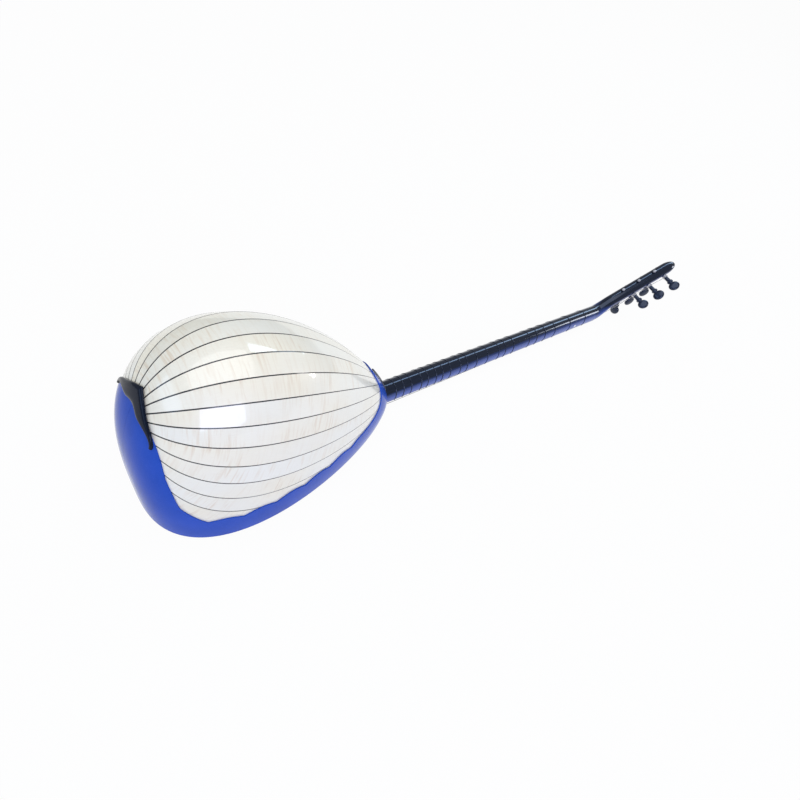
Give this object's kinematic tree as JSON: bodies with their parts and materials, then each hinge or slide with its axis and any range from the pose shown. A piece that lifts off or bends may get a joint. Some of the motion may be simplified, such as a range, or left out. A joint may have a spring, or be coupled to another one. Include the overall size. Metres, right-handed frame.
{
  "type": "electric baglama",
  "caption": "Long-necked lute with a deep ribbed bowl, scalloped rim band, tied frets and turning pegs, wired with a pickup and knobs.",
  "frame": {"origin": "middle of the bounding box's bottom, as the instrument lies face down on its bridge and its first front peg", "axes": "+X from the tail to the head, +Z out of the bowl's back, -Y to the side that carries the side pegs"},
  "size_m": [1.1168, 0.2316, 0.2405],
  "materials": {
    "ivory_wood": "pale flamed wood under clear gloss lacquer",
    "blue_band": "glossy blue with a fine dark edge line",
    "black_lacquer": "high-gloss black lacquer on wood",
    "dark_wood": "turned black wood, satin",
    "spruce": "straight-grained spruce, satin lacquer",
    "plain_wood": "bare wood",
    "dark_plastic": "black plastic",
    "bone_white": "polished bone white",
    "steel": "plain steel"
  },
  "bodies": {
    "instrument": {"rib_01": "ivory_wood", "rib_02": "ivory_wood", "rib_03": "ivory_wood", "rib_04": "ivory_wood", "rib_05": "ivory_wood", "rib_06": "ivory_wood", "rib_07": "ivory_wood", "rib_08": "ivory_wood", "rib_09": "ivory_wood", "rib_10": "ivory_wood", "rib_11": "ivory_wood", "rib_12": "ivory_wood", "rib_13": "ivory_wood", "rib_14": "ivory_wood", "rib_15": "ivory_wood", "rib_16": "ivory_wood", "rib_17": "ivory_wood", "rib_18": "ivory_wood", "side_rib_near": "ivory_wood", "side_rib_far": "ivory_wood", "purfling": "black_lacquer", "rim_band_near": "blue_band", "rim_band_far": "blue_band", "tail_cap": "black_lacquer", "soundboard": "spruce", "tail_block": "plain_wood", "neck_block": "plain_wood", "brace_lower": "plain_wood", "brace_upper": "plain_wood", "neck": "black_lacquer", "side_dot": "bone_white", "headstock": "black_lacquer", "nut": "bone_white", "bridge": "plain_wood", "string_holder": "black_lacquer", "string_1": "steel", "string_2": "steel", "string_3": "steel", "string_4": "steel", "string_5": "steel", "string_6": "steel", "pickup": "dark_plastic", "volume_control": "steel", "tone_control": "steel", "output_socket": "steel"},
    "peg_front_1": {"peg_front_1": "dark_wood"},
    "peg_front_2": {"peg_front_2": "dark_wood"},
    "peg_front_3": {"peg_front_3": "dark_wood"},
    "peg_side_1": {"peg_side_1": "dark_wood"},
    "peg_side_2": {"peg_side_2": "dark_wood"},
    "peg_side_3": {"peg_side_3": "dark_wood"},
    "volume_knob": {"volume_knob": "dark_plastic"},
    "tone_knob": {"tone_knob": "dark_plastic"}
  },
  "joints": [
    {"name": "peg_front_1_turn", "type": "hinge", "parent": "instrument", "child": "peg_front_1", "pos_m": [0.44356, -0.00037, 0.04664], "axis": [0.363, -0.1908, -0.9121], "continuous": true},
    {"name": "peg_side_1_turn", "type": "hinge", "parent": "instrument", "child": "peg_side_1", "pos_m": [0.46031, -0.00037, 0.05331], "axis": [0, -1, 0], "continuous": true},
    {"name": "peg_front_2_turn", "type": "hinge", "parent": "instrument", "child": "peg_front_2", "pos_m": [0.47707, -0.00037, 0.05998], "axis": [0.363, -0.1908, -0.9121], "continuous": true},
    {"name": "peg_side_2_turn", "type": "hinge", "parent": "instrument", "child": "peg_side_2", "pos_m": [0.49383, -0.00037, 0.06665], "axis": [0, -1, 0], "continuous": true},
    {"name": "peg_front_3_turn", "type": "hinge", "parent": "instrument", "child": "peg_front_3", "pos_m": [0.51059, -0.00037, 0.07332], "axis": [0.363, -0.1908, -0.9121], "continuous": true},
    {"name": "peg_side_3_turn", "type": "hinge", "parent": "instrument", "child": "peg_side_3", "pos_m": [0.52734, -0.00037, 0.07999], "axis": [0, -1, 0], "continuous": true},
    {"name": "volume_knob_turn", "type": "hinge", "parent": "instrument", "child": "volume_knob", "pos_m": [-0.43579, -0.06237, 0.0068], "axis": [0, 0, -1], "range_deg": [0, 300]},
    {"name": "tone_knob_turn", "type": "hinge", "parent": "instrument", "child": "tone_knob", "pos_m": [-0.39779, -0.06637, 0.0068], "axis": [0, 0, -1], "range_deg": [0, 300]}
  ]
}
